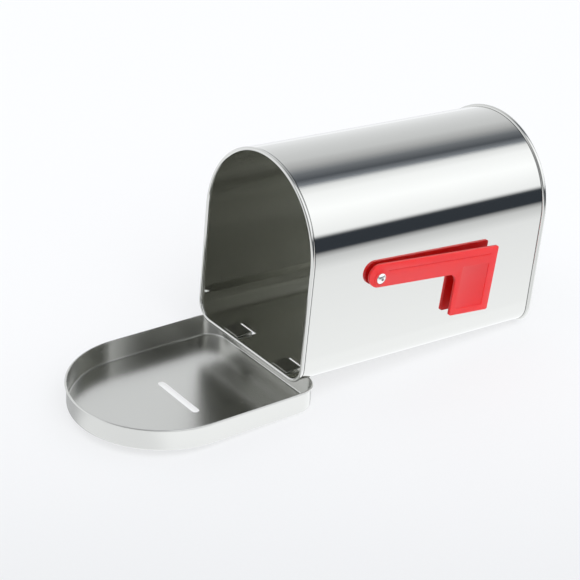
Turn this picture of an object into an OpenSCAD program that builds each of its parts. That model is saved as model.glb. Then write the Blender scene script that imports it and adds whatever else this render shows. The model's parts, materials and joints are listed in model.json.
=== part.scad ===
// Tinplate letter box with an arched roof: a folded and lock-seamed body, a seamed
// back panel, a pressed tray door hung on two bent tabs, and a red flag on a rivet.
// The model stands in its open state: door swung down, flag lowered.
// X runs to the right seen from the front, Y to the rear, Z up.
// The origin is the centre of the floor's underside.

/* [Body] */
// Width over the side walls
body_w = 105; // [85:1:150]
// Height of the straight side walls, up to where the arch starts
side_h = 74; // [55:1:110]
// Depth from the front hem to the back rim
body_d = 182; // [130:1:260]
// Outside radius of the two floor corners
floor_r = 12; // [6:1:20]
// Thickness of the tinplate in every pressed part
sheet_t = 0.4; // [0.3:0.05:0.6]

/* [Front hem and side seam] */
// Diameter of the rolled hem round the front opening
hem_d = 2.4; // [1.6:0.2:3.6]
// How far the hem stands out beyond the side wall
hem_out = 0.4; // [0:0.1:0.8]
// Width of the lock seam inside the left wall
seam_w = 5; // [3:0.5:8]
// How far the lock seam stands into the body
seam_t = 0.8; // [0.4:0.1:1.6]

/* [Back panel] */
// Diameter of the rolled rim that grips the body's rear edge
back_rim_d = 3.2; // [2.4:0.2:5]
// How far the rolled rim stands out beyond the side wall
back_rim_out = 1.25; // [0.6:0.05:1.8]
// Depth of the dished panel behind the end of the rim
back_inset = 1.5; // [0.6:0.1:1.6]

/* [Door] */
// Gap between the body's wall and the door's flange when shut
door_gap = 1.25; // [1.1:0.05:2.5]
// Gap between the front hem and the door's panel when shut
shut_gap = 2.6; // [0.5:0.1:5]
// Diameter of the bead rolled outwards on the door's rim
door_bead_d = 1.4; // [1:0.1:2.4]
// Outside radius where the door's panel turns into its flange
door_base_r = 1.6; // [0.8:0.1:4]
// Angle from shut to the open stop, in degrees
door_open = 92.4; // [88:0.1:93]

/* [Hinge] */
// Distance of the hinge line behind the front hem
axis_y = 13; // [10:0.5:20]
// Depth of the door's rim below the hinge line when open
rim_drop = 1.8; // [1:0.1:3]
// Width of each hinge tab
tab_w = 14; // [8:0.5:20]
// Length of the hook that lies on the floor
hook_l = 10; // [6:0.5:10]
// Distance between the middles of the two tabs
tab_pitch = 50; // [36:1:58]
// Distance of the pair of tabs to the right of the middle
tab_shift = 3; // [-4:0.5:4]

/* [Coin slot] */
// Length over the round ends
coin_l = 40; // [26:1:60]
// Width of the slot
coin_w = 4.8; // [3:0.1:8]
// Height of the slot above the floor when the door is shut
coin_z = 62.5; // [30:0.5:90]
// Distance of the slot to the right of the middle
coin_shift = 2; // [-6:0.5:6]

/* [Flag] */
// Distance of the pivot behind the front hem
pivot_y = 49.5; // [35:0.5:70]
// Distance of the pivot below the top of the straight sides
pivot_drop = 12.5; // [8:0.5:30]
// Length from the pivot to the flag's far edge
flag_reach = 90; // [60:1:110]
// Length from the pivot to the round end of the arm
flag_heel = 8.4; // [7:0.1:12]
// Width of the arm
arm_w = 14.4; // [12:0.2:20]
// Distance from the pivot to the arm's upper edge
arm_top = 8.9; // [7:0.1:11]
// Width of the hanging panel
panel_w = 30.5; // [20:0.5:45]
// Height of the panel with the arm
panel_h = 42.2; // [28:0.2:60]
// Thickness of the moulding
flag_t = 2; // [1.4:0.1:3]
// Depth of the sunk field and the groove
field_deep = 0.4; // [0.2:0.1:0.6]
// Sag of the lowered arm, in degrees
flag_sag = 3.2; // [0:0.1:8]
// Lean of the arm away from the wall, in degrees
flag_splay = 1.4; // [0:0.1:3]

/* [Rivet] */
// Diameter of the rivet's shank
rivet_d = 3.2; // [2.4:0.1:4.8]
// Diameter of the domed head
head_d = 6.5; // [5.5:0.1:9]
// Height of the domed head
head_h = 1.3; // [0.8:0.1:2]
// Diameter of the pulling pin left inside the rivet
pin_d = 1.8; // [1.2:0.1:2.2]
// Outside diameter of both washers
washer_d = 8; // [7:0.5:12]
// Thickness of the spacing washer under the flag
spacer_t = 1.2; // [0.8:0.1:2.4]
// Thickness of the washer inside the wall
backing_t = 0.8; // [0.5:0.1:1.6]

/* [Hidden] */

// Running clearances
flag_play = 0.05;    // between the flag's hub and the shank, washer and head
slot_play = 0.5;     // beside and in front of a hinge tab in its floor slot
slot_room = 2;       // behind a hinge tab in its floor slot
hook_play = 0.3;     // under the tip of a hook at the open stop
seam_end = 0.9;      // body edge to the end of the back rim
seam_play = 0.5;     // lock seam to the front hem and to the back rim
overcut = 1;         // how far a cutting shape runs past the part

// Body
arch_r = body_w / 2;
floor_flat = body_w - 2 * floor_r;
front_y = -body_d / 2;
seam_z = floor_r + 2;
round_fn = 128;
small_fn = 32;

// Hinge, in a frame whose y = 0 is the front hem
axis_z = sheet_t / 2;
tab_bend_r = 0.5;
tab_off = door_gap + axis_z;
bend_y = axis_y + tab_off - tab_bend_r;
bend_steps = 6;
hook_lean = asin((door_gap - hook_play) / hook_l) - (door_open - 90);
slot_front = axis_y - slot_play;
slot_back = axis_y + (tab_off + sheet_t) * sqrt(2) + slot_room;

// Door, shut, in the same frame
door_rim_y = axis_y - rim_drop;
door_out_y = -shut_gap - sheet_t;

// Flag outline, measured from the pivot along the arm and upwards
arm_low = arm_top - arm_w;
arm_mid = (arm_top + arm_low) / 2;
panel_s = flag_reach - panel_w;
panel_low = arm_top - panel_h;
panel_corner_r = 1.2;
inner_corner_r = 6;
field_edge = 4;
field_right = 5.5;
groove_w = 0.6;
groove_s = 5;
groove_drop = 4.8;
hub_d = 9.6;
hub_proud = 0.3;
hub_l = flag_t + 2 * hub_proud;

// Rivet stack, measured outwards from the wall's outer face
pivot_z = side_h - pivot_drop;
hub_x = spacer_t + flag_play;
head_x = hub_x + hub_l + flag_play;
backing_x = -sheet_t - backing_t;
bulge_d = 5;
bulge_l = 2.6;
pin_sunk = 0.4;
pin_head_d = 2.8;

// ---- shapes that follow the body's arched section ----

// The filled section, grown outwards by grow
module outline(grow) {
    half_w = arch_r + grow;
    translate([0, side_h]) circle(r = half_w, $fn = round_fn);
    translate([-half_w, floor_r]) square([2 * half_w, side_h - floor_r]);
    translate([-floor_flat / 2, -grow]) square([floor_flat, side_h + grow]);
    for (side = [-1, 1])
        translate([side * floor_flat / 2, floor_r]) circle(r = floor_r + grow, $fn = round_fn);
}

// The filled section as a plate from one depth to another
module plate(grow, from_y, to_y) {
    translate([0, to_y, 0]) rotate([90, 0, 0])
        linear_extrude(height = to_y - from_y) outline(grow);
}

// Sweeps a small section round the outline: its x points outwards from the wall,
// its y is the depth behind the front hem
module round_outline() {
    translate([0, 0, side_h]) rotate([-90, 0, 0]) rotate([0, 0, 180])
        rotate_extrude(angle = 180, $fn = round_fn) translate([arch_r, 0]) children();
    translate([-floor_flat / 2, 0, 0]) rotate([0, 90, 0])
        linear_extrude(height = floor_flat) children();
    for (side = [0, 1]) mirror([side, 0, 0]) {
        translate([arch_r, 0, floor_r])
            linear_extrude(height = side_h - floor_r) children();
        translate([floor_flat / 2, 0, floor_r]) rotate([-90, 0, 0])
            rotate_extrude(angle = 90, $fn = round_fn) translate([floor_r, 0]) children();
    }
}

// ---- body ----

module wrap_section() {
    translate([-sheet_t, hem_d / 2]) square([sheet_t, body_d - hem_d / 2 - seam_end]);
    translate([hem_out - hem_d / 2, hem_d / 2]) circle(d = hem_d, $fn = small_fn);
}

// Places its children at the middle of each hinge tab
module at_tabs() {
    for (side = [-1, 1]) translate([tab_shift + side * tab_pitch / 2, 0, 0]) children();
}

module floor_slot() {
    slot_l = tab_w + 2 * slot_play;
    translate([-slot_l / 2, slot_front, -sheet_t])
        cube([slot_l, slot_back - slot_front, 3 * sheet_t]);
}

module side_seam() {
    seam_depth = body_d - hem_d - back_rim_d - 2 * seam_play;
    translate([-arch_r + sheet_t, hem_d + seam_play, seam_z]) cube([seam_t, seam_depth, seam_w]);
}

module body_wrap() {
    color("silver") translate([0, front_y, 0]) {
        difference() {
            round_outline() wrap_section();
            at_tabs() floor_slot();
            at_pivot() translate([0, 0, -2 * sheet_t])
                cylinder(d = rivet_d, h = 3 * sheet_t, $fn = small_fn);
        }
        side_seam();
    }
}

// ---- back panel: a shallow dish whose rolled rim holds the body's edge ----

module rim_section() {
    difference() {
        translate([back_rim_out - back_rim_d / 2, body_d - back_rim_d / 2])
            circle(d = back_rim_d, $fn = small_fn);
        translate([-sheet_t, body_d - back_rim_d - seam_end])
            square([sheet_t, back_rim_d]);
    }
}

module back_panel() {
    dish_y = body_d - back_inset;
    dish_grow = back_rim_out - back_rim_d / 2 - sheet_t * 2;
    color("silver") translate([0, front_y, 0]) {
        round_outline() rim_section();
        plate(dish_grow, dish_y - sheet_t, dish_y);
    }
}

// ---- door, drawn shut and then swung open about the hinge line ----

module door_section() {
    flange_y = door_out_y + door_base_r;
    bead_y = door_rim_y - door_bead_d / 2;
    translate([door_gap, flange_y]) square([sheet_t, bead_y - flange_y]);
    translate([door_gap + door_bead_d / 2, bead_y]) circle(d = door_bead_d, $fn = small_fn);
    translate([door_gap + sheet_t - door_base_r, flange_y]) intersection() {
        difference() {
            circle(r = door_base_r, $fn = small_fn);
            circle(r = door_base_r - sheet_t, $fn = small_fn);
        }
        translate([0, -door_base_r]) square(door_base_r);
    }
}

module coin_slot() {
    end_s = (coin_l - coin_w) / 2;
    translate([coin_shift, door_out_y + 2 * sheet_t, coin_z]) rotate([90, 0, 0])
        linear_extrude(height = 3 * sheet_t) {
            square([2 * end_s, coin_w], center = true);
            for (side = [-1, 1]) translate([side * end_s, 0]) circle(d = coin_w, $fn = small_fn);
        }
}

// Points of a bend about the tab's bend centre, at one radius
function bend_arc(radius, turn) = [
    for (i = [0:bend_steps]) let (a = turn * i / bend_steps - 90)
        [bend_y + radius * cos(a), tab_bend_r - door_gap + radius * sin(a)]
];

// A strip that leaves the flange's rim, bends up through the slot and hooks forwards
module hinge_tab() {
    turn = 90 + hook_lean;
    tip = [-hook_l * sin(turn - 90), hook_l * cos(turn - 90)];
    outer = bend_arc(tab_bend_r + sheet_t, turn);
    inner = bend_arc(tab_bend_r, turn);
    leg_y = door_rim_y - door_bead_d / 2;
    translate([-tab_w / 2, 0, 0]) rotate([90, 0, 90]) linear_extrude(height = tab_w)
        polygon(concat(
            [[leg_y, -door_gap - sheet_t]], outer, [outer[bend_steps] + tip],
            [inner[bend_steps] + tip], [for (i = [bend_steps:-1:0]) inner[i]],
            [[leg_y, -door_gap]]));
}

module shut_door() {
    round_outline() door_section();
    difference() {
        plate(door_gap + sheet_t - door_base_r, door_out_y, door_out_y + sheet_t);
        coin_slot();
    }
    at_tabs() hinge_tab();
}

module door() {
    color("silver") translate([0, front_y, 0])
        translate([0, axis_y, axis_z]) rotate([door_open, 0, 0]) translate([0, -axis_y, -axis_z])
            shut_door();
}

// ---- flag and its rivet: drawn with z outwards from the wall, x along the arm ----

module at_pivot() {
    translate([arch_r, pivot_y, pivot_z]) rotate([90, 0, 90]) children();
}

module round_corner_block(size, r) {
    translate([r, 0]) square([size[0] - 2 * r, size[1]]);
    translate([0, r]) square([size[0], size[1] - 2 * r]);
    for (x = [r, size[0] - r], y = [r, size[1] - r])
        translate([x, y]) circle(r = r, $fn = small_fn);
}

module flag_outline() {
    heel_s = arm_w / 2 - flag_heel;
    translate([heel_s, arm_mid]) circle(d = arm_w, $fn = round_fn);
    translate([heel_s, arm_low]) square([panel_s + panel_corner_r - heel_s, arm_w]);
    translate([panel_s, panel_low]) round_corner_block([panel_w, panel_h], panel_corner_r);
    translate([panel_s - inner_corner_r, arm_low - inner_corner_r]) difference() {
        square(inner_corner_r + panel_corner_r / 2);
        circle(r = inner_corner_r, $fn = round_fn);
    }
}

module flag_sunk_lines() {
    field_s = panel_s + field_edge;
    field_w = panel_w - field_edge - field_right;
    field_low = panel_low + field_edge;
    field_top = arm_low + field_edge;
    groove_end = flag_reach - field_right;
    translate([field_s, field_low]) square([field_w, field_top - field_low]);
    translate([groove_s, arm_top - groove_drop]) square([groove_end - groove_s, groove_w]);
}

module flag() {
    color([0.9, 0.13, 0.13]) translate([0, front_y, 0]) at_pivot() rotate([0, 0, -flag_sag])
        translate([0, 0, hub_x]) difference() {
            union() {
                translate([0, 0, hub_proud]) rotate([0, -flag_splay, 0]) difference() {
                    linear_extrude(height = flag_t) flag_outline();
                    translate([0, 0, flag_t - field_deep])
                        linear_extrude(height = 2 * field_deep) flag_sunk_lines();
                }
                cylinder(d = hub_d, h = hub_l, $fn = round_fn);
            }
            translate([0, 0, -overcut])
                cylinder(d = rivet_d + 2 * flag_play, h = hub_l + 2 * overcut, $fn = small_fn);
        }
}

module flag_rivet() {
    dome_r = (head_h * head_h + head_d * head_d / 4) / (2 * head_h);
    shank_l = head_x - backing_x;
    color("gainsboro") translate([0, front_y, 0]) at_pivot() difference() {
        union() {
            translate([0, 0, backing_x]) cylinder(d = rivet_d, h = shank_l, $fn = small_fn);
            translate([0, 0, head_x]) rotate_extrude($fn = round_fn) intersection() {
                translate([0, head_h - dome_r]) circle(r = dome_r, $fn = round_fn);
                square([head_d / 2, head_h]);
            }
            translate([0, 0, backing_x - bulge_l]) cylinder(d = bulge_d, h = bulge_l, $fn = small_fn);
        }
        translate([0, 0, backing_x - 2 * bulge_l])
            cylinder(d = pin_d, h = shank_l + 3 * bulge_l, $fn = small_fn);
    }
}

module rivet_pin() {
    pin_end = backing_x - bulge_l;
    color("dimgray") translate([0, front_y, 0]) at_pivot() {
        translate([0, 0, pin_end])
            cylinder(d = pin_d, h = head_x + head_h - pin_sunk - pin_end, $fn = small_fn);
        translate([0, 0, pin_end - pin_head_d / 2])
            cylinder(d = pin_head_d, h = pin_head_d / 2, $fn = small_fn);
    }
}

module washer(thickness) {
    difference() {
        cylinder(d = washer_d, h = thickness, $fn = round_fn);
        translate([0, 0, -thickness]) cylinder(d = rivet_d, h = 3 * thickness, $fn = small_fn);
    }
}

module spacing_washer() {
    color("whitesmoke") translate([0, front_y, 0]) at_pivot() washer(spacer_t);
}

module backing_washer() {
    color("lightgray") translate([0, front_y, 0]) at_pivot()
        translate([0, 0, backing_x]) washer(backing_t);
}

body_wrap();
back_panel();
door();
flag();
flag_rivet();
rivet_pin();
spacing_washer();
backing_washer();
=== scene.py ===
"""Fine shape, finish and studio of an arched tinplate letter box with a tray door and a red flag."""

import json
import math

import bmesh
import bpy
from mathutils import Matrix, Vector

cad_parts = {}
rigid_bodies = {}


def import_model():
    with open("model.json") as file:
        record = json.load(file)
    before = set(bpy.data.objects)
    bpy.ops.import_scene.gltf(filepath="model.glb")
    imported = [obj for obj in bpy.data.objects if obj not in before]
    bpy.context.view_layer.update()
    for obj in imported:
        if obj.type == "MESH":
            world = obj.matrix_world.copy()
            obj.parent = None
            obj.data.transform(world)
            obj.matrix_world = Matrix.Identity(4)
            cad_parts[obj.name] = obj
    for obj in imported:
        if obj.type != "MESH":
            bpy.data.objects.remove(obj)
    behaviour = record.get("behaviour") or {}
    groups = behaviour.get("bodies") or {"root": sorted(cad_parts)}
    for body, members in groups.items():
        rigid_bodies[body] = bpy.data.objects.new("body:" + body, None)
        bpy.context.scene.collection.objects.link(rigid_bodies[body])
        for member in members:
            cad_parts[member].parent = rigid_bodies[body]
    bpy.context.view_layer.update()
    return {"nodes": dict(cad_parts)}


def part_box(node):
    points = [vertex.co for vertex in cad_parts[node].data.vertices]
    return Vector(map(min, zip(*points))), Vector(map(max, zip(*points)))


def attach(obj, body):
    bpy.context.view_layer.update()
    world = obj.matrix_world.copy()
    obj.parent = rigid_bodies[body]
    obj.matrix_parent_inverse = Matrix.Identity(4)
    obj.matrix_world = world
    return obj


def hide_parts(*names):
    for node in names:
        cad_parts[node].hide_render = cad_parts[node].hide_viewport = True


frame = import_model()
mm = 0.001

# ---------------------------------------------------------------------------------------
# Body: one sheet of bright tinplate rolled over a former into floor, walls and an arched
# roof. Two slots near the front of the floor take the door's hinge tabs, and the mill's
# grain runs from front to rear. The chamber's inside is softer, and its tin is lighter
# than the outside's, which is painted light in the shaded chamber. Cut edges are bare,
# and their far lighter colour is a painted highlight that draws them as bright lines.
# ---------------------------------------------------------------------------------------

wrap_low, wrap_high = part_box("body_wrap")
hem_proud = 0.4 * mm
wall_x = wrap_high.x - hem_proud
crown_z = wrap_high.z - hem_proud
spring_z = crown_z - wall_x
mouth_y = wrap_low.y
corner_r = 12 * mm
tin_t = 0.4 * mm
hem_r = 1.2 * mm
tab_w = 14 * mm
tab_pitch = 50 * mm
tab_shift = 3 * mm
slot_play = 0.5 * mm
slot_front = mouth_y + 12.5 * mm
slot_back = mouth_y + 17.6 * mm
sheet_back = wrap_high.y

tab_middles = [tab_shift + side * tab_pitch / 2 for side in (-1, 1)]
slot_edges = [middle + side * (tab_w / 2 + slot_play) for middle in tab_middles for side in (-1, 1)]


def between(start, end, steps):
    """Evenly spaced values from start up to, and without, end."""
    return [start + (end - start) * i / steps for i in range(steps)]


def arch_section(grow=0.0, floor_stops=()):
    """Points (x, z) round the grown section, from the right spring line over the roof."""
    half = wall_x + grow
    bend = corner_r + grow
    flat = wall_x - corner_r
    roof = [(half * math.cos(a), spring_z + half * math.sin(a)) for a in between(0, math.pi, 96)]
    left = [(-half, z) for z in between(spring_z, corner_r, 10)]
    left_bend = [(-flat + bend * math.cos(a), corner_r + bend * math.sin(a))
                 for a in between(math.pi, 1.5 * math.pi, 12)]
    stops = sorted([-flat, *floor_stops, flat])
    floor = [(x, -grow) for low, high in zip(stops, stops[1:])
             for x in between(low, high, max(1, round((high - low) / (8 * mm))))]
    right_bend = [(flat + bend * math.cos(a), corner_r + bend * math.sin(a))
                  for a in between(1.5 * math.pi, 2 * math.pi, 12)]
    right = [(half, z) for z in between(corner_r, spring_z, 10)]
    return roof + left + left_bend + floor + right_bend + right


def section_loop(name, grow, y, floor_stops=()):
    """The section as a closed loop of edges at one depth, for a shape tree to work on."""
    points = arch_section(grow, floor_stops)
    mesh = bpy.data.meshes.new(name)
    count = len(points)
    mesh.from_pydata([(x, y, z) for x, z in points], [(i, (i + 1) % count) for i in range(count)], [])
    return show(name, mesh)


def show(name, mesh):
    """A piece made of the mesh, placed in the scene."""
    piece = bpy.data.objects.new(name, mesh)
    bpy.context.scene.collection.objects.link(piece)
    return piece


class Value:
    """A socket of a node tree, so that node maths reads as ordinary arithmetic."""

    def __init__(self, bench, socket):
        self.bench = bench
        self.socket = socket

    def maths(self, operation, *terms):
        return self.bench.node("ShaderNodeMath", {"operation": operation}, dict(enumerate(terms)))

    def __add__(self, other):
        return self.maths("ADD", self, other)

    def __sub__(self, other):
        return self.maths("SUBTRACT", self, other)

    def __rsub__(self, other):
        return self.maths("SUBTRACT", other, self)

    def __mul__(self, other):
        return self.maths("MULTIPLY", self, other)

    def __truediv__(self, other):
        return self.maths("DIVIDE", self, other)

    def __lt__(self, other):
        return self.maths("LESS_THAN", self, other)

    def __gt__(self, other):
        return self.maths("GREATER_THAN", self, other)

    __radd__ = __add__
    __rmul__ = __mul__

    def near(self, other, reach):
        return self.maths("COMPARE", self, other, reach)

    def rounded(self):
        return self.maths("ROUND", self)


class Bench:
    """Adds nodes to one tree, whether it makes a shape, a finish or the studio's light."""

    def __init__(self, tree):
        self.tree = tree
        tree.nodes.clear()

    def node(self, kind, settings=(), inputs=(), output=0):
        made = self.tree.nodes.new(kind)
        for name, setting in dict(settings).items():
            if name == "stops":
                lay_stops(made.color_ramp, setting)
            else:
                setattr(made, name, setting)
        for key, given in dict(inputs).items():
            if isinstance(given, Value):
                self.tree.links.new(given.socket, made.inputs[key])
            else:
                made.inputs[key].default_value = given
        return Value(self, made.outputs[output] if made.outputs else None)

    def split(self, vector):
        parts = self.tree.nodes.new("ShaderNodeSeparateXYZ")
        self.tree.links.new(vector.socket, parts.inputs[0])
        return [Value(self, out) for out in parts.outputs]


def lay_stops(ramp, stops):
    """Sets a ramp's stops, given as place and grey or colour."""
    while len(ramp.elements) > 1:
        ramp.elements.remove(ramp.elements[-1])
    for i, (place, tone) in enumerate(stops):
        stop = ramp.elements[0] if i == 0 else ramp.elements.new(place)
        stop.position = place
        stop.color = (*tone, 1) if isinstance(tone, tuple) else (tone, tone, tone, 1)


class ShapeTree(Bench):
    """A geometry tree with named sizes, which starts from the piece's own mesh."""

    def __init__(self, name, **sizes):
        super().__init__(bpy.data.node_groups.new(name, "GeometryNodeTree"))
        self.ids = {}
        self.tree.interface.new_socket("Shape", in_out="INPUT", socket_type="NodeSocketGeometry")
        for size, kind in sizes.items():
            socket = self.tree.interface.new_socket(size, in_out="INPUT",
                                                    socket_type="NodeSocket" + kind)
            self.ids[size] = socket.identifier
        self.tree.interface.new_socket("Shape", in_out="OUTPUT", socket_type="NodeSocketGeometry")
        self.given = self.tree.nodes.new("NodeGroupInput")

    def size(self, name):
        return Value(self, self.given.outputs[name])

    def deliver(self, shape):
        """Ends the tree as a plain, smooth mesh in the piece's finish."""
        smooth = self.node("GeometryNodeSetShadeSmooth", {}, {"Geometry": shape})
        plain = self.node("GeometryNodeRealizeInstances", {}, {"Geometry": smooth})
        coated = self.node("GeometryNodeSetMaterial", {},
                           {"Geometry": plain, "Material": self.size("Finish")})
        self.node("NodeGroupOutput", {}, {"Shape": coated})

    def attach(self, piece, **values):
        """Gives the tree to a piece with its sizes set, before anything evaluates it."""
        modifier = piece.modifiers.new(self.tree.name, "NODES")
        modifier.node_group = self.tree
        for name, value in values.items():
            modifier[self.ids[name]] = value


def bake_shape(piece, crease=40):
    """Turns a piece with its modifiers into one plain mesh, smooth but for its creases."""
    depsgraph = bpy.context.evaluated_depsgraph_get()
    mesh = bpy.data.meshes.new_from_object(piece.evaluated_get(depsgraph))
    piece.modifiers.clear()
    piece.data = mesh
    mesh.polygons.foreach_set("use_smooth", [True] * len(mesh.polygons))
    mesh.set_sharp_from_angle(angle=math.radians(crease))
    return piece


class Finish(Bench):
    """A material under construction, whose patterns sit on the piece's own coordinates."""

    def __init__(self, name):
        self.material = bpy.data.materials.new(name)
        self.material.use_nodes = True
        super().__init__(self.material.node_tree)
        self.place = self.node("ShaderNodeTexCoord", output="Object")

    def pattern(self, scale, detail=2.0, rough=0.5, shift=(0, 0, 0)):
        """A noise of so many features a metre along each axis, as a value about 0.5."""
        placed = self.node("ShaderNodeMapping", {"vector_type": "POINT"},
                           {"Vector": self.place, "Scale": scale, "Location": shift})
        return self.node("ShaderNodeTexNoise", {},
                         {"Vector": placed, "Scale": 1.0, "Detail": detail, "Roughness": rough})

    def blend(self, mask, first, second):
        """First colour where the mask is 0 and second where it is 1."""
        return self.node("ShaderNodeMix", {"data_type": "RGBA", "clamp_factor": True},
                         {0: mask, 6: first, 7: second}, output=2)

    def bump(self, height, depth, under=None):
        """A height of 0 to 1 as relief of so many metres."""
        inputs = {"Height": height, "Strength": 1.0, "Distance": depth}
        if under:
            inputs["Normal"] = under
        return self.node("ShaderNodeBump", {}, inputs)

    def surface(self, **inputs):
        """Ends the material in one Principled shader; underscores in names stand for spaces."""
        body = self.node("ShaderNodeBsdfPrincipled", {},
                         {name.replace("_", " "): value for name, value in inputs.items()})
        self.node("ShaderNodeOutputMaterial", {}, {"Surface": body})
        return self.material


def tinplate(name, grain_depth, wave_depth, roughness, light=(0.636, 0.638, 0.617, 1),
             shade=(0.612, 0.614, 0.590, 1), grain=(1.0, 1.0, 1.0), creases=(), peel_from=None):
    """Bright rolled tin: fine grain along the sheet, slow waves, faint smudges, and painted shade in
    bands at the creases.
    """
    finish = Finish(name)
    fine = finish.pattern([g * s for g, s in zip(grain, (2600, 14, 2600))], detail=3.0, rough=0.6)
    coarse = finish.pattern([g * s for g, s in zip(grain, (420, 4, 420))], detail=2.0)
    waves = finish.pattern((9, 7, 9), detail=0.0, shift=(3, 1, 2))
    smudges = finish.pattern((28, 20, 28), detail=5.0, rough=0.65, shift=(7, 3, 5))
    scuffs = finish.pattern((700, 60, 700), detail=4.0, rough=0.7, shift=(1, 8, 4))
    marks = (scuffs > 0.72) * 0.04
    colour = finish.blend(fine * 0.5 + smudges * 0.5, shade, light)
    _, depth, height = finish.split(finish.place)
    # Each band at a crease is darkened towards near-black: painted shade where a rolled bead meets the
    # sheet.
    painted_crease_shadow = (0.16, 0.165, 0.16, 1)
    for start, end in creases:
        colour = finish.blend((depth > start) * (depth < end) * 0.85, colour, painted_crease_shadow)
    relief = finish.bump(waves, wave_depth)
    relief = finish.bump(coarse, grain_depth * 0.8, relief)
    relief = finish.bump(fine, grain_depth, relief)
    if peel_from:
        peel = finish.pattern((950, 700, 950), detail=1.0, shift=(6, 2, 2))
        relief = finish.bump(peel * (height > peel_from), 7e-6, relief)
    return finish.surface(
        Base_Color=colour,
        Metallic=1.0,
        Roughness=roughness + (smudges - 0.5) * 0.04 + (fine - 0.5) * 0.03 + marks,
        Normal=relief,
    )


rim_gap = 0.6 * mm
rim_front = sheet_back - 2.3 * mm
hem_back = mouth_y + 2 * hem_r
# Painted shade darkens a band behind the front hem and a band before the back rim.
wrap_tin = tinplate("rolled_tinplate", 1.6e-6, 4e-4, 0.06, peel_from=0.108, creases=[
    (hem_back - rim_gap, hem_back + rim_gap / 2), (rim_front - rim_gap, rim_front + rim_gap)])
# Lighter than the outer tin, so the shaded chamber comes out brighter: painted light.
lightened_inner_tin = tinplate("inner_tinplate", 0.0, 0.0, 0.19, light=(0.718, 0.720, 0.692, 1),
                     shade=(0.716, 0.718, 0.689, 1))
# Cut faces are bare metal, and this colour is far lighter than the tin's so they read as bright lines:
# painted highlight.
cut_edge_highlight = tinplate("cut_tin_edge", 2e-6, 1e-5, 0.42, light=(0.92, 0.92, 0.91, 1),
                    shade=(0.86, 0.86, 0.85, 1))

# A grid is wrapped round the section's loop, with a column on each of its points, and the
# rows nearest to the slots' ends are moved onto them before the slots' faces go.
bent_sheet = ShapeTree("bent_sheet", Front="Float", Back="Float", Rows="Int", Slot_Front="Float",
                       Slot_Back="Float", Slot_Half="Float", Slot_Left="Float", Slot_Right="Float",
                       Finish="Material")
loop = bent_sheet.size("Shape")
loop_count = bent_sheet.node("GeometryNodeAttributeDomainSize", {"component": "MESH"},
                             {"Geometry": loop})
columns = loop_count + 1
grid = bent_sheet.node("GeometryNodeMeshGrid", {}, {"Size X": 1.0, "Size Y": 1.0, "Vertices X": columns,
                                                    "Vertices Y": bent_sheet.size("Rows")})
place = bent_sheet.node("GeometryNodeInputPosition")
across, along, _ = bent_sheet.split(place)
column = ((across + 0.5) * loop_count).rounded()
wrapped = bent_sheet.node("ShaderNodeMath", {"operation": "MODULO"}, {0: column, 1: loop_count})
bend_place = bent_sheet.node("GeometryNodeSampleIndex", {"data_type": "FLOAT_VECTOR", "domain": "POINT"},
                             {"Geometry": loop, "Value": place, "Index": wrapped})
bend_x, _, bend_z = bent_sheet.split(bend_place)
length = bent_sheet.size("Back") - bent_sheet.size("Front")
depth = bent_sheet.size("Front") + (along + 0.5) * length
half_row = length / (bent_sheet.size("Rows") - 1) * 0.499
for edge in ("Slot_Front", "Slot_Back"):
    snapped = depth.near(bent_sheet.size(edge), half_row)
    depth = snapped * bent_sheet.size(edge) + (1 - snapped) * depth
bent_place = bent_sheet.node("ShaderNodeCombineXYZ", {}, {"X": bend_x, "Y": depth, "Z": bend_z})
sheet = bent_sheet.node("GeometryNodeSetPosition", {}, {"Geometry": grid, "Position": bent_place})
face_x, face_y, face_z = bent_sheet.split(place)
behind_front = face_y > bent_sheet.size("Slot_Front")
before_back = face_y < bent_sheet.size("Slot_Back")
in_depth = behind_front * before_back * (face_z < mm)
in_left = face_x.near(bent_sheet.size("Slot_Left"), bent_sheet.size("Slot_Half"))
in_right = face_x.near(bent_sheet.size("Slot_Right"), bent_sheet.size("Slot_Half"))
slotted = bent_sheet.node("GeometryNodeDeleteGeometry", {"domain": "FACE"},
                          {"Geometry": sheet, "Selection": in_depth * (in_left + in_right)})
closed = bent_sheet.node("GeometryNodeMergeByDistance", {},
                         {"Geometry": slotted, "Distance": 0.001 * mm})
bent_sheet.deliver(bent_sheet.node("GeometryNodeFlipFaces", {}, {"Mesh": closed}))

body_sheet = section_loop("body_sheet", 0.0, mouth_y, slot_edges)
bent_sheet.attach(body_sheet, Front=mouth_y + hem_r, Back=sheet_back, Rows=62, Slot_Front=slot_front,
                  Slot_Back=slot_back, Slot_Half=tab_w / 2 + slot_play, Slot_Left=tab_middles[0],
                  Slot_Right=tab_middles[1], Finish=wrap_tin)
skin = body_sheet.modifiers.new("sheet_thickness", "SOLIDIFY")
skin.thickness = tin_t
skin.offset = -1
bake_shape(body_sheet)
body_sheet.data.materials.clear()
for finish in (wrap_tin, lightened_inner_tin, cut_edge_highlight):
    body_sheet.data.materials.append(finish)
# Inner faces take the lighter inner tin as painted light, and cut faces take the lightened edge colour
# as a painted highlight.
for face in body_sheet.data.polygons:
    to_axis = Vector((0, face.center.y, spring_z)) - face.center
    cut = face.center.z < tin_t and abs(face.normal.z) < 0.5
    face.material_index = 2 if cut else int(face.normal.dot(to_axis) > 0)
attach(body_sheet, "body")
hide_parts("body_wrap")

# ---------------------------------------------------------------------------------------
# Front hem: the sheet's front edge rolled inwards into a round bead, which stiffens the
# opening and leaves no sharp edge. It stands a little proud of the walls.
# ---------------------------------------------------------------------------------------

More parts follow.
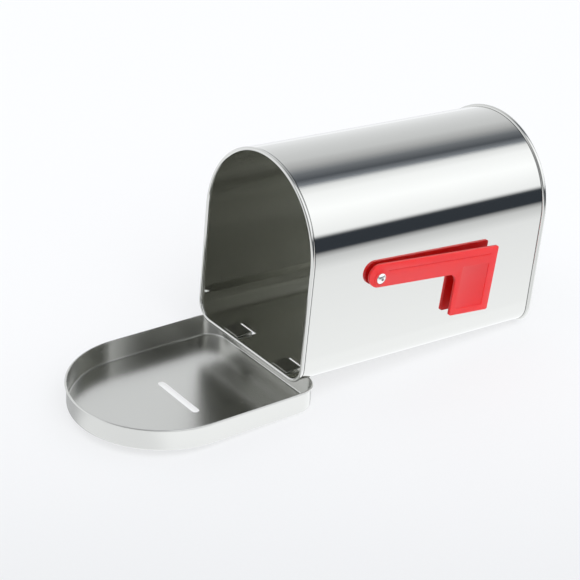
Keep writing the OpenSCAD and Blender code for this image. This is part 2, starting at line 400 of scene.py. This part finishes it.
rolled_edge = ShapeTree("rolled_edge", Radius="Float", Sides="Int", Finish="Material")
centre_line = rolled_edge.node("GeometryNodeMeshToCurve", {}, {"Mesh": rolled_edge.size("Shape")})
ring = rolled_edge.node("GeometryNodeCurvePrimitiveCircle", {"mode": "RADIUS"},
                        {"Resolution": rolled_edge.size("Sides"), "Radius": rolled_edge.size("Radius")})
rolled_edge.deliver(rolled_edge.node("GeometryNodeCurveToMesh", {},
                                     {"Curve": centre_line, "Profile Curve": ring}))

hem_tin = tinplate("hem_tinplate", 1.2e-6, 2e-5, 0.09, grain=(0.5, 60, 0.5))
front_hem = section_loop("front_hem", hem_proud - hem_r, mouth_y + hem_r)
rolled_edge.attach(front_hem, Radius=hem_r, Sides=20, Finish=hem_tin)
bake_shape(front_hem, 180)
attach(front_hem, "body")

# ---------------------------------------------------------------------------------------
# Lock seam: the sheet's two ends folded over each other and pressed flat low on the left
# wall, so inside there is a raised flat strip with soft edges.
# ---------------------------------------------------------------------------------------

seam_low = corner_r + 2 * mm
seam_w = 5 * mm
seam_t = 0.8 * mm
seam_play = 0.5 * mm
seam_l = 175.4 * mm
seam_sunk = 0.1 * mm
seam_front = mouth_y + 2 * hem_r + seam_play
seam_wall = -wall_x + tin_t


def rounded_bar(name, low, high, softening, finish):
    """A bar from one corner to another with its edges eased over."""
    bar = bmesh.new()
    bmesh.ops.create_cube(bar, size=1.0)
    size = Vector(high) - Vector(low)
    bmesh.ops.scale(bar, vec=size, verts=bar.verts)
    bmesh.ops.translate(bar, vec=(Vector(high) + Vector(low)) / 2, verts=bar.verts)
    bmesh.ops.bevel(bar, geom=bar.edges, offset=softening, segments=4, profile=0.5,
                    affect="EDGES")
    mesh = bpy.data.meshes.new(name)
    bar.to_mesh(mesh)
    mesh.materials.append(finish)
    return bake_shape(show(name, mesh), 60)


# The seam's tin is lighter than the sheet's, so its eased edges show as bright lines: painted highlight.
lightened_seam_tin = tinplate("seam_tinplate", 0.4e-6, 1e-5, 0.09, light=(0.88, 0.88, 0.85, 1),
                    shade=(0.84, 0.84, 0.81, 1))
side_seam = rounded_bar("side_seam", (seam_wall - seam_sunk, seam_front, seam_low),
                        (seam_wall + seam_t, seam_front + seam_l, seam_low + seam_w),
                        0.39 * mm, lightened_seam_tin)
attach(side_seam, "body")

# ---------------------------------------------------------------------------------------
# Back panel: a pressed blank of the same tin, dished a little. Its rim is rolled round
# the body's rear edge and closed tight, so it shows as a proud round bead.
# ---------------------------------------------------------------------------------------

panel_low, panel_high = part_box("back_panel")
rim_r = 1.6 * mm
rim_grow = panel_high.x - wall_x - rim_r
dish_y = panel_high.y - 1.5 * mm


def join_loops(shape, first, second):
    """A band of faces between two closed rows of as many points."""
    for i in range(len(first)):
        j = (i + 1) % len(first)
        shape.faces.new((first[i], first[j], second[j], second[i]))


def flat_end(shape, hoop, y, opening):
    """Fills a hoop flat, leaving the opening free, and returns the opening's points."""
    if not opening:
        shape.faces.new(hoop)
        return []
    lip = [shape.verts.new((x, y, z)) for x, z in opening]
    hoop_edges = [shape.edges.get(pair) for pair in zip(hoop, hoop[1:] + hoop[:1])]
    lip_edges = [shape.edges.new(pair) for pair in zip(lip, lip[1:] + lip[:1])]
    bmesh.ops.triangle_fill(shape, use_beauty=True, edges=hoop_edges + lip_edges)
    return lip


def section_shell(name, rings, finish, opening=()):
    """A closed shell with flat ends through copies of the section, given as growth and depth."""
    shell = bmesh.new()
    hoops = [[shell.verts.new((x, y, z)) for x, z in arch_section(grow)] for grow, y in rings]
    for near_hoop, far_hoop in zip(hoops, hoops[1:]):
        join_loops(shell, near_hoop, far_hoop)
    lips = [flat_end(shell, hoops[end], rings[end][1], opening) for end in (0, -1)]
    join_loops(shell, *lips)
    bmesh.ops.recalc_face_normals(shell, faces=shell.faces)
    mesh = bpy.data.meshes.new(name)
    shell.to_mesh(mesh)
    mesh.materials.append(finish)
    return show(name, mesh)


def arc(centre, radius, start, end, steps=8):
    """Points on an arc between two angles in degrees, both ends included."""
    turns = [math.radians(start + (end - start) * i / steps) for i in range(steps + 1)]
    return [(centre[0] + radius * math.cos(a), centre[1] + radius * math.sin(a)) for a in turns]


panel_tin = tinplate("panel_tinplate", 1.5e-6, 4e-4, 0.08, grain=(0.006, 190, 1.0))
flat_grow = -9 * mm
dish_grow = -3 * mm
skirt_grow = -1.2 * mm
dish_bend_r = 1.2 * mm
dish_bend = arc((dish_grow, dish_y + dish_bend_r), dish_bend_r, 0, -90)
panel_rings = [(flat_grow, dish_y - tin_t), (dish_grow, dish_y - tin_t), (skirt_grow, dish_y - tin_t),
               (skirt_grow, dish_y + dish_bend_r), *dish_bend,
               (dish_grow - mm, dish_y), (flat_grow, dish_y)]
back_panel = bake_shape(section_shell("back_dish", panel_rings, panel_tin))
back_panel.data.materials.append(lightened_inner_tin)
# Faces towards the chamber take the lighter inner tin, as painted light.
for face in back_panel.data.polygons:
    face.material_index = int(face.normal.y < -0.5)
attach(back_panel, "body")
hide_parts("back_panel")

back_rim = section_loop("back_rim", rim_grow, panel_high.y - rim_r)
rolled_edge.attach(back_rim, Radius=rim_r, Sides=24, Finish=hem_tin)
bake_shape(back_rim, 180)
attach(back_rim, "body")

# ---------------------------------------------------------------------------------------
# Door: a shallow tray pressed from one blank, with its rim rolled outwards and a slot for
# coins or slips punched through. Two tabs bent from the rim hang in the floor's slots.
# ---------------------------------------------------------------------------------------

door_gap = 1.25 * mm
shut_gap = 2.6 * mm
bead_r = 0.7 * mm
base_r = 1.6 * mm
door_open = math.radians(92.4)
hinge_y = mouth_y + 13 * mm
hinge_z = tin_t / 2
rim_y = hinge_y - 1.8 * mm
tray_y = mouth_y - shut_gap
coin_l = 40 * mm
coin_w = 4.8 * mm
coin_x = 2 * mm
coin_z = 62.5 * mm
hook_l = 10 * mm
tab_bend_r = 0.5 * mm
hook_lean = 3.05
support_grow = -1 * mm


def swing_open(piece):
    """Turns a piece drawn on the shut door down to the open stop, in its mesh."""
    hinge = Vector((0, hinge_y, hinge_z))
    turn = Matrix.Translation(hinge) @ Matrix.Rotation(door_open, 4, "X") @ Matrix.Translation(-hinge)
    piece.data.transform(turn)
    return piece


bend_centre = (door_gap + tin_t - base_r, tray_y - tin_t + base_r)
bead_centre = (door_gap + bead_r, rim_y - bead_r)
inner_bend = arc(bend_centre, base_r - tin_t, -90, 0)
bead_turn = arc(bead_centre, bead_r, 180, -110, 16)
outer_bend = arc(bend_centre, base_r, 0, -90)
bead_foot = (door_gap + tin_t, rim_y - 2.2 * bead_r)
door_rings = [(flat_grow, tray_y), (support_grow, tray_y), *inner_bend, *bead_turn,
              bead_foot, *outer_bend,
              (support_grow, tray_y - tin_t), (flat_grow, tray_y - tin_t)]
door_tin = tinplate("door_tinplate", 2.4e-6, 1.5e-4, 0.24)
slot_end = (coin_l - coin_w) / 2
coin_slot = [(coin_x + slot_end + x, coin_z + z) for x, z in arc((0, 0), coin_w / 2, -90, 90, 16)]
coin_slot += [(coin_x - slot_end + x, coin_z + z) for x, z in arc((0, 0), coin_w / 2, 90, 270, 16)]
door_tray = bake_shape(section_shell("door_tray", door_rings, door_tin, coin_slot))
swing_open(door_tray)
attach(door_tray, "door")
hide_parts("door")


def hinge_tab(name, middle):
    """A strip that leaves the tray's rim, bends, and passes through its floor slot as a hook."""
    turn = 90 + hook_lean
    bend_y = hinge_y + door_gap + tin_t / 2 - tab_bend_r
    centre = (bend_y, tab_bend_r - door_gap)
    outer = arc(centre, tab_bend_r + tin_t, -90, turn - 90, 10)
    inner = arc(centre, tab_bend_r, -90, turn - 90, 10)
    lean = math.radians(turn - 90)
    tip_y = -hook_l * math.sin(lean)
    tip_z = hook_l * math.cos(lean)
    leg_y = rim_y - bead_r
    rows = (0.03, 0.5, 1)
    outer_hook = [(outer[-1][0] + tip_y * row, outer[-1][1] + tip_z * row) for row in rows]
    inner_hook = [(inner[-1][0] + tip_y * row, inner[-1][1] + tip_z * row) for row in reversed(rows)]
    edge = [(leg_y, -door_gap - tin_t), *outer, *outer_hook, *inner_hook, *reversed(inner),
            (leg_y, -door_gap)]
    strip = bmesh.new()
    sides = []
    for x in (middle - tab_w / 2, middle + tab_w / 2):
        sides.append([strip.verts.new((x, y, z)) for y, z in edge])
    join_loops(strip, *sides)
    strip.faces.new(sides[0])
    strip.faces.new(sides[1])
    bmesh.ops.recalc_face_normals(strip, faces=strip.faces)
    mesh = bpy.data.meshes.new(name)
    strip.to_mesh(mesh)
    mesh.materials.append(door_tin)
    mesh.materials.append(cut_edge_highlight)
    # The tab's side faces take the lightened cut-edge colour, a painted highlight.
    for face in mesh.polygons:
        face.material_index = int(abs(face.normal.x) > 0.5)
    return swing_open(bake_shape(show(name, mesh), 30))


for name, middle in zip(("hinge_tab_left", "hinge_tab_right"), tab_middles):
    tab = hinge_tab(name, middle)
    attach(tab, "door")

# ---------------------------------------------------------------------------------------
# Flag: one red plastic moulding, an arm with a hanging panel, a scored line along the arm
# and a sunk field in the panel. The mould's edges are eased and its skin is semi-gloss.
# ---------------------------------------------------------------------------------------


def red_plastic():
    """Semi-gloss red moulding: faint flow lines, fine skin texture and a few light rubs."""
    finish = Finish("red_moulded_plastic")
    flow = finish.pattern((60, 18, 60), detail=3.0, shift=(2, 5, 1))
    skin_texture = finish.pattern((2200, 2200, 2200), detail=2.0)
    rubs = finish.pattern((240, 60, 240), detail=5.0, rough=0.7, shift=(5, 1, 9))
    colour = finish.blend(flow, (0.82, 0.024, 0.028, 1), (0.88, 0.036, 0.040, 1))
    colour = finish.blend((rubs > 0.74) * 0.03, colour, (0.90, 0.14, 0.13, 1))
    return finish.surface(
        Base_Color=colour,
        Roughness=0.30 + (flow - 0.5) * 0.06 + (rubs - 0.5) * 0.06,
        Specular_IOR_Level=0.4,
        Subsurface_Weight=0.85,
        Subsurface_Scale=0.007,
        Normal=finish.bump(skin_texture, 3e-6, finish.bump(flow, 4e-5)),
    )


def eased_copy(node, name, softening, finish):
    """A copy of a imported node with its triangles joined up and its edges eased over."""
    copy = bmesh.new()
    copy.from_mesh(frame["nodes"][node].data)
    bmesh.ops.remove_doubles(copy, verts=copy.verts, dist=0.002 * mm)
    bmesh.ops.dissolve_limit(copy, angle_limit=math.radians(0.5), verts=copy.verts, edges=copy.edges)
    mesh = bpy.data.meshes.new(name)
    copy.to_mesh(mesh)
    mesh.materials.clear()
    mesh.materials.append(finish)
    piece = show(name, mesh)
    ease = piece.modifiers.new("eased_edges", "BEVEL")
    ease.width = softening
    ease.segments = 3
    ease.limit_method = "ANGLE"
    ease.angle_limit = math.radians(40)
    ease.use_clamp_overlap = True
    return bake_shape(piece, 50)


flag = eased_copy("flag", "flag_moulding", 0.25 * mm, red_plastic())
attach(flag, "flag")
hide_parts("flag")

# ---------------------------------------------------------------------------------------
# Rivet stack: a blind rivet with a low domed head holds the flag, and its snapped steel
# pin shows in the middle. A plastic washer stands the flag off the wall, and a steel one
# backs the rivet inside.
# ---------------------------------------------------------------------------------------

pivot_low, pivot_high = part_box("spacing_washer")
pivot = Vector((wall_x, (pivot_low.y + pivot_high.y) / 2, (pivot_low.z + pivot_high.z) / 2))
_, head_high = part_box("flag_rivet")
head_out = head_high.x - wall_x
head_r = 3.25 * mm
head_h = 1.3 * mm
shank_r = 1.6 * mm
pin_r = 0.9 * mm


def turned(name, outline, finish, crease=45):
    """A part turned about the rivet's line, from points given as distance out and radius."""
    rounds = 48
    part = bmesh.new()
    rows = []
    for out, radius in outline:
        turns = [2 * math.pi * i / rounds for i in range(rounds)]
        rows.append([part.verts.new(pivot + Vector((out, radius * math.cos(a), radius * math.sin(a))))
                     for a in turns])
    for near_row, far_row in zip(rows, rows[1:] + rows[:1]):
        join_loops(part, near_row, far_row)
    bmesh.ops.recalc_face_normals(part, faces=part.faces)
    mesh = bpy.data.meshes.new(name)
    part.to_mesh(mesh)
    mesh.materials.append(finish)
    return bake_shape(show(name, mesh), crease)


def plated_metal(name, light, dark, roughness):
    """Drawn metal with a little tarnish and fine pits."""
    finish = Finish(name)
    tarnish = finish.pattern((420, 420, 420), detail=4.0, rough=0.6)
    pits = finish.pattern((3200, 3200, 3200), detail=2.0, shift=(4, 4, 1))
    return finish.surface(
        Base_Color=finish.blend(tarnish, light, dark),
        Metallic=1.0,
        Roughness=roughness + (tarnish - 0.5) * 0.14,
        Normal=finish.bump(pits, 5e-6, finish.bump(tarnish, 1.5e-5)),
    )


dome_r = (head_h ** 2 + head_r ** 2) / (2 * head_h)
head_base = head_out - head_h
head_ease = 0.15 * mm
dome_edge = head_r - 0.12 * mm
dome_mouth = 1.15 * mm
dome_steps = 12
dome = []
for i in range(dome_steps + 1):
    radius = dome_edge + (dome_mouth - dome_edge) * i / dome_steps
    dome.append((head_out - dome_r + math.sqrt(dome_r ** 2 - radius ** 2), radius))
bulge_r = 2.5 * mm
bulge_l = 2.6 * mm
bulge_ease = 0.5 * mm
backing_t = 0.8 * mm
backing_out = -tin_t - backing_t
bulge_out = backing_out - bulge_l
rivet_line = [(head_base, shank_r), (head_base, head_r - head_ease), (head_base + head_ease, head_r),
              *dome, (head_out - 0.25 * mm, pin_r), (bulge_out, pin_r),
              (bulge_out, bulge_r - bulge_ease), (bulge_out + bulge_ease, bulge_r),
              (backing_out - 0.4 * mm, bulge_r), (backing_out, bulge_r - 0.3 * mm),
              (backing_out, shank_r)]
rivet_alloy = plated_metal("rivet_alloy", (0.86, 0.86, 0.85, 1), (0.74, 0.74, 0.73, 1), 0.2)
rivet = turned("rivet_body", rivet_line, rivet_alloy)
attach(rivet, "body")
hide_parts("flag_rivet")

pin_steel = plated_metal("pin_steel", (0.42, 0.42, 0.42, 1), (0.22, 0.21, 0.20, 1), 0.38)
pin_out = head_out - 0.4 * mm
pin_side = pin_r - 0.01 * mm
pin_core = 0.02 * mm
tail_out = bulge_out - 1.4 * mm
pin_line = [(pin_out - 0.05 * mm, pin_core), (pin_out, 0.3 * mm), (pin_out, 0.6 * mm),
            (pin_out - 0.2 * mm, pin_side), (bulge_out, pin_side), (bulge_out, 1.3 * mm),
            (bulge_out - 0.5 * mm, 1.4 * mm), (bulge_out - 1.1 * mm, 1.2 * mm),
            (tail_out, 0.6 * mm), (tail_out, pin_core)]
pin = turned("rivet_pin_steel", pin_line, pin_steel)
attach(pin, "body")
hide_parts("rivet_pin")

washer_r = 4 * mm
spacer_t = 1.2 * mm


def washer_line(inner_out, outer_out, ease):
    """The outline of a flat ring with eased corners."""
    rim = washer_r
    return [(inner_out, shank_r), (inner_out, rim - ease), (inner_out + ease, rim),
            (outer_out - ease, rim), (outer_out, rim - ease), (outer_out, shank_r)]


def white_plastic():
    """Milky washer plastic with a faint skin."""
    finish = Finish("white_washer_plastic")
    cloud = finish.pattern((500, 500, 500), detail=3.0)
    return finish.surface(
        Base_Color=finish.blend(cloud, (0.80, 0.80, 0.78, 1), (0.88, 0.88, 0.87, 1)),
        Roughness=0.42 + (cloud - 0.5) * 0.15,
        Normal=finish.bump(cloud, 8e-6),
    )


spacer = turned("flag_spacer", washer_line(0, spacer_t, 0.15 * mm), white_plastic())
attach(spacer, "body")
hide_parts("spacing_washer")

backing = turned("inner_washer", washer_line(backing_out, -tin_t, 0.1 * mm), pin_steel)
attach(backing, "body")
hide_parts("backing_washer")

# ---------------------------------------------------------------------------------------
# Table: a pale flat sheet. The open door props the box, so the table leans by the small
# angle at which the rear rim and the open door both rest on it.
# ---------------------------------------------------------------------------------------

rear_foot = Vector((0, panel_high.y - rim_r, panel_low.z))
lean = max(math.atan2(rear_foot.z - corner.co.z, rear_foot.y - corner.co.y)
           for corner in frame["nodes"]["door"].data.vertices)


def pale_table():
    """Matt white paper with a painted glow that keeps shadows faint and dims towards the front."""
    finish = Finish("pale_table_paper")
    fibres = finish.pattern((900, 900, 900), detail=3.0)
    across, along, _ = finish.split(finish.place)
    # The glow falls off towards the front: painted light.
    glow_falloff = finish.node("ShaderNodeMapRange", {"interpolation_type": "SMOOTHSTEP"},
                           {"Value": across * 0.78 - along * 0.63, "From Min": 0.0, "From Max": 0.45})
    return finish.surface(
        Base_Color=finish.blend(fibres, (0.29, 0.295, 0.30, 1), (0.31, 0.315, 0.32, 1)),
        Roughness=0.8,
        Specular_IOR_Level=0.0,
        Emission_Color=finish.blend(glow_falloff, (0.99, 0.99, 1.0, 1), (0.73, 0.735, 0.745, 1)),
        Emission_Strength=0.65,
    )


table_mesh = bpy.data.meshes.new("table")
reach = 6.0
corners = [Vector((x, y * math.cos(lean), y * math.sin(lean))) + rear_foot
           for x, y in ((-reach, -reach), (reach, -reach), (reach, reach), (-reach, reach))]
table_mesh.from_pydata(corners, [], [(0, 1, 2, 3)])
table_mesh.materials.append(pale_table())
table = show("table", table_mesh)
table.visible_glossy = False

# ---------------------------------------------------------------------------------------
# Studio: soft light from all round, as a ring of tones that the bright tin reflects. To the
# right is a dark gap below a tall soft panel, a dark strip hangs overhead, the left is pale,
# and in front the room is bright to the left and dim to the right.
# ---------------------------------------------------------------------------------------

reflectance = 0.62


def studio_tone(shade, cool=0.0):
    """The light in which the tin looks a shade of 0 to 255, made bluer by the cool share."""
    level = ((shade / 255 + 0.055) / 1.055) ** 2.4 / reflectance
    return (level * (1 - cool), level, level * (1 + 1.5 * cool))


def round_stops(stops):
    """Stops given by angle from -180 to 180 degrees, as places from 0 to 1 on a ramp."""
    return [((angle + 180) / 360, studio_tone(*shade)) for angle, *shade in stops]


world = bpy.data.worlds.new("studio")
world.use_nodes = True
bpy.context.scene.world = world
studio = Bench(world.node_tree)
heading = studio.node("ShaderNodeTexCoord", output="Generated")
head_x, head_y, head_z = studio.split(heading)
ring_angle = studio.node("ShaderNodeMath", {"operation": "ARCTAN2"}, {0: head_z, 1: head_x})
ring_place = ring_angle / (2 * math.pi) + 0.5
below_box = [(-180, 226), (-165, 205), (-148, 165), (-132, 175), (-118, 240), (-36, 238)]
dark_gap = [(-30, 222), (-14, 194), (-9, 150), (-6, 52, 0.14), (11, 52, 0.14)]
soft_panel = [(16, 236), (46, 254), (68, 243), (77, 222)]
dark_strip = [(83, 124, 0.06), (90, 80, 0.08), (100, 110, 0.05), (112, 166)]
pale_left = [(125, 192), (170, 212)]
ring_stops = round_stops(below_box + dark_gap + soft_panel + dark_strip + pale_left)
ring_tone = studio.node("ShaderNodeValToRGB", {"stops": ring_stops}, {"Fac": ring_place})

upwards = head_z * 0.5 + 0.5
bright_front = [(0.0, 1.12), (0.46, 1.20), (0.52, 1.15), (0.75, 1.15), (0.95, 0.9)]
dim_front = [(0.0, 1.12), (0.42, 1.14), (0.50, 0.55), (0.57, 0.34), (0.78, 0.36), (0.95, 0.9)]
front_left = studio.node("ShaderNodeValToRGB", {"stops": bright_front}, {"Fac": upwards})
front_right = studio.node("ShaderNodeValToRGB", {"stops": dim_front}, {"Fac": upwards})
facing_right = studio.node("ShaderNodeMapRange", {"interpolation_type": "SMOOTHSTEP"},
                           {"Value": head_x, "From Min": -0.40, "From Max": 0.15})
front_tone = studio.node("ShaderNodeMix", {"data_type": "RGBA"},
                         {0: facing_right, 6: front_left, 7: front_right}, output=2)
facing_front = studio.node("ShaderNodeMapRange", {"interpolation_type": "SMOOTHSTEP"},
                           {"Value": head_y, "From Min": -0.15, "From Max": -0.5})
room = studio.node("ShaderNodeMix", {"data_type": "RGBA"},
                   {0: facing_front, 6: ring_tone, 7: front_tone}, output=2)
tint = studio.node("ShaderNodeMix", {"data_type": "RGBA", "blend_type": "MULTIPLY"},
                   {0: 1.0, 6: room, 7: (0.985, 1.0, 1.025, 1)}, output=2)
room_light = studio.node("ShaderNodeBackground", {}, {"Color": tint, "Strength": 1.0})
plain_backdrop = studio.node("ShaderNodeBackground", {},
                             {"Color": (0.965, 0.970, 0.980, 1), "Strength": 1.0})
seen = studio.node("ShaderNodeLightPath", output="Is Camera Ray")
surroundings = studio.node("ShaderNodeMixShader", {}, {0: seen, 1: room_light, 2: plain_backdrop})
studio.node("ShaderNodeOutputWorld", {}, {"Surface": surroundings})

softbox_data = bpy.data.lights.new("softbox", "SUN")
softbox_data.angle = math.radians(50)
softbox_data.energy = 1.1
softbox = bpy.data.objects.new("softbox", softbox_data)
softbox.location = (1.1, -0.5, 1.3)
softbox.rotation_euler = (Vector((0, 0, 0.06)) - softbox.location).to_track_quat("-Z", "Y").to_euler()
softbox.visible_glossy = False
bpy.context.scene.collection.objects.link(softbox)
bpy.context.scene.view_settings.view_transform = "Standard"

# The chamber is lit by light that has met its mirror walls about seven times.
bpy.context.scene.cycles.max_bounces = 20
bpy.context.scene.cycles.glossy_bounces = 16

# ---------------------------------------------------------------------------------------
# Camera: above and to the right of the open front, with a long lens and a slight roll.
# ---------------------------------------------------------------------------------------

azimuth = math.radians(50.86)
elevation = math.radians(25.65)
roll = math.radians(5.72)
aim = Vector((0, -11 * mm, 60 * mm))
distance = 1029.91 * mm
shift_right = -43.34 * mm
shift_up = -33.38 * mm
backwards = Vector((math.sin(azimuth) * math.cos(elevation), -math.cos(azimuth) * math.cos(elevation),
                    math.sin(elevation)))
level_right = Vector((math.cos(azimuth), math.sin(azimuth), 0))
level_up = backwards.cross(level_right)
view_right = math.cos(roll) * level_right + math.sin(roll) * level_up
view_up = -math.sin(roll) * level_right + math.cos(roll) * level_up
camera_data = bpy.data.cameras.new("camera")
camera_data.sensor_width = 36
camera_data.lens = 105.0
camera_data.clip_end = 100
camera = bpy.data.objects.new("camera", camera_data)
stand = aim + distance * backwards + shift_right * view_right + shift_up * view_up
facing = Matrix((view_right, view_up, backwards)).transposed().to_4x4()
camera.matrix_world = Matrix.Translation(stand) @ facing
bpy.context.scene.collection.objects.link(camera)
bpy.context.scene.camera = camera
